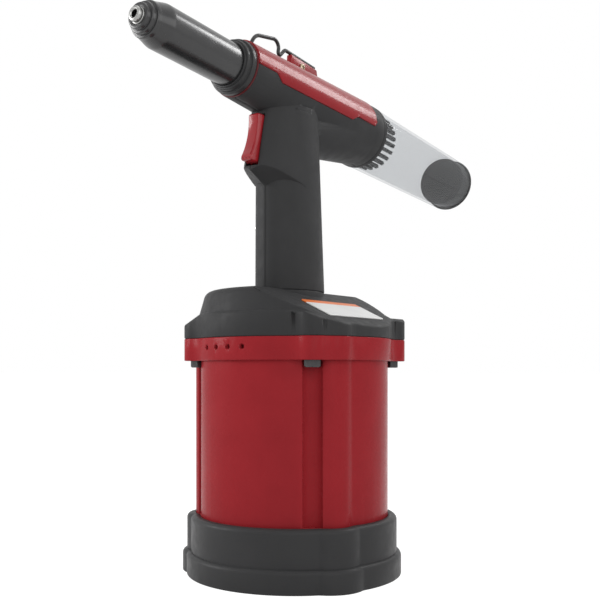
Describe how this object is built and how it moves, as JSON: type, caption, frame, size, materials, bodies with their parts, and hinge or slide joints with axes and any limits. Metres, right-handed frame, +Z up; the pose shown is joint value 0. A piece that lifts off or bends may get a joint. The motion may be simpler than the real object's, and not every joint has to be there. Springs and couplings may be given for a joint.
{
  "type": "air hydraulic riveter",
  "caption": "Hand-held air hydraulic riveter: red air cylinder on a rubber boot, pistol grip with trigger, pull head with nosepiece, wire hanger and clear mandrel collector.",
  "frame": {"origin": "on the floor, under the axis of the air cylinder", "axes": "+X towards the nose, +Y to the tool's left, +Z up along the air cylinder"},
  "size_m": [0.3202, 0.1182, 0.2905],
  "materials": {
    "red_paint": "gloss",
    "red_plastic": "gloss",
    "black_plastic": "fine matte",
    "black_rubber": "satin",
    "black_steel": "satin",
    "steel": "machined",
    "alloy": "machined",
    "brass": "machined",
    "clear_plastic": "clear",
    "felt": "felt",
    "label": "satin"
  },
  "bodies": {
    "frame": {"rubber_boot": "black_rubber", "cylinder_base_cap": "alloy", "base_cap_ring": "black_rubber", "base_cap_screws": "steel", "air_cylinder": "red_paint", "flange_studs": "steel", "flange_nuts": "black_steel", "top_housing": "black_plastic", "label_plate": "label", "exhaust_silencer": "felt", "piston_bumper": "black_rubber", "oil_cylinder": "steel", "ram_gland": "brass", "ram_seal": "black_rubber", "air_inlet_fitting": "steel", "grip_shell_left": "black_plastic", "grip_shell_right": "black_plastic", "shell_screws": "steel", "trigger_pin": "steel", "valve_body": "brass", "valve_spring": "steel", "head_cylinder": "alloy", "bleed_screw": "steel", "rod_seal": "black_rubber", "return_spring": "steel", "rear_cap": "alloy", "top_cover": "red_plastic", "hanger_wire": "black_steel", "hanger_screw": "black_steel", "trim_ring": "red_plastic", "collar_nut": "black_steel", "front_sleeve": "black_steel", "nosepiece": "steel", "collector_adapter": "black_plastic"},
    "trigger": {"trigger": "red_plastic"},
    "valve_stem": {"valve_stem": "brass"},
    "air_piston": {"air_piston": "alloy", "air_piston_ring": "black_rubber", "ram": "steel", "ram_nut": "steel"},
    "pull_head": {"head_piston": "steel", "head_piston_ring": "black_rubber", "guide_tube": "steel", "jaw_case": "steel", "jaw_pusher": "steel", "jaw_spring": "steel"},
    "jaw_1": {"jaw_1": "steel"},
    "jaw_2": {"jaw_2": "steel"},
    "jaw_3": {"jaw_3": "steel"},
    "collector": {"collector_tube": "clear_plastic"},
    "collector_cap": {"collector_end_cap": "black_plastic"},
    "inlet_swivel": {"inlet_swivel": "steel"}
  },
  "joints": [
    {"name": "trigger_pull", "type": "hinge", "parent": "frame", "child": "trigger", "pos_m": [0.0296, 0, 0.2403], "axis": [0, 1, 0], "range_deg": [0, 8], "stiffness_Nm_per_rad": 0.6},
    {"name": "valve_stem_slide", "type": "slide", "parent": "frame", "child": "valve_stem", "axis": [-1, 0, 0], "range_m": [0, 0.00182], "deforming": ["valve_spring"]},
    {"name": "air_piston_stroke", "type": "slide", "parent": "frame", "child": "air_piston", "axis": [0, 0, 1], "range_m": [0, 0.058]},
    {"name": "pull_head_stroke", "type": "slide", "parent": "frame", "child": "pull_head", "axis": [-0.9972, 0, -0.075], "range_m": [0, 0.01825], "deforming": ["return_spring"]},
    {"name": "jaw_1_grip", "type": "slide", "parent": "pull_head", "child": "jaw_1", "axis": [0.9909, 0, -0.1347], "range_m": [0, 0.001], "stiffness_N_per_m": 300},
    {"name": "jaw_2_grip", "type": "slide", "parent": "pull_head", "child": "jaw_2", "axis": [0.9674, 0.1807, 0.1774], "range_m": [0, 0.001], "stiffness_N_per_m": 300},
    {"name": "jaw_3_grip", "type": "slide", "parent": "pull_head", "child": "jaw_3", "axis": [0.9674, -0.1807, 0.1774], "range_m": [0, 0.001], "stiffness_N_per_m": 300},
    {"name": "collector_turn", "type": "hinge", "parent": "frame", "child": "collector", "pos_m": [-0.0708, 0, 0.25538], "axis": [0.9972, 0, 0.075], "range_deg": [0, 45]},
    {"name": "collector_cap_slide", "type": "slide", "parent": "collector", "child": "collector_cap", "axis": [-0.9972, 0, -0.075], "range_m": [0, 0.02]},
    {"name": "inlet_turn", "type": "hinge", "parent": "frame", "child": "inlet_swivel", "pos_m": [-0.0597, 0, 0.141], "axis": [1, 0, 0], "continuous": true}
  ],
  "couplings": [
    {"joint": "valve_stem_slide", "follows": "trigger_pull", "m_per_rad": 0.013},
    {"joint": "pull_head_stroke", "follows": "air_piston_stroke", "ratio": 0.31429},
    {"joint": "jaw_2_grip", "follows": "jaw_1_grip", "ratio": 1},
    {"joint": "jaw_3_grip", "follows": "jaw_1_grip", "ratio": 1}
  ]
}
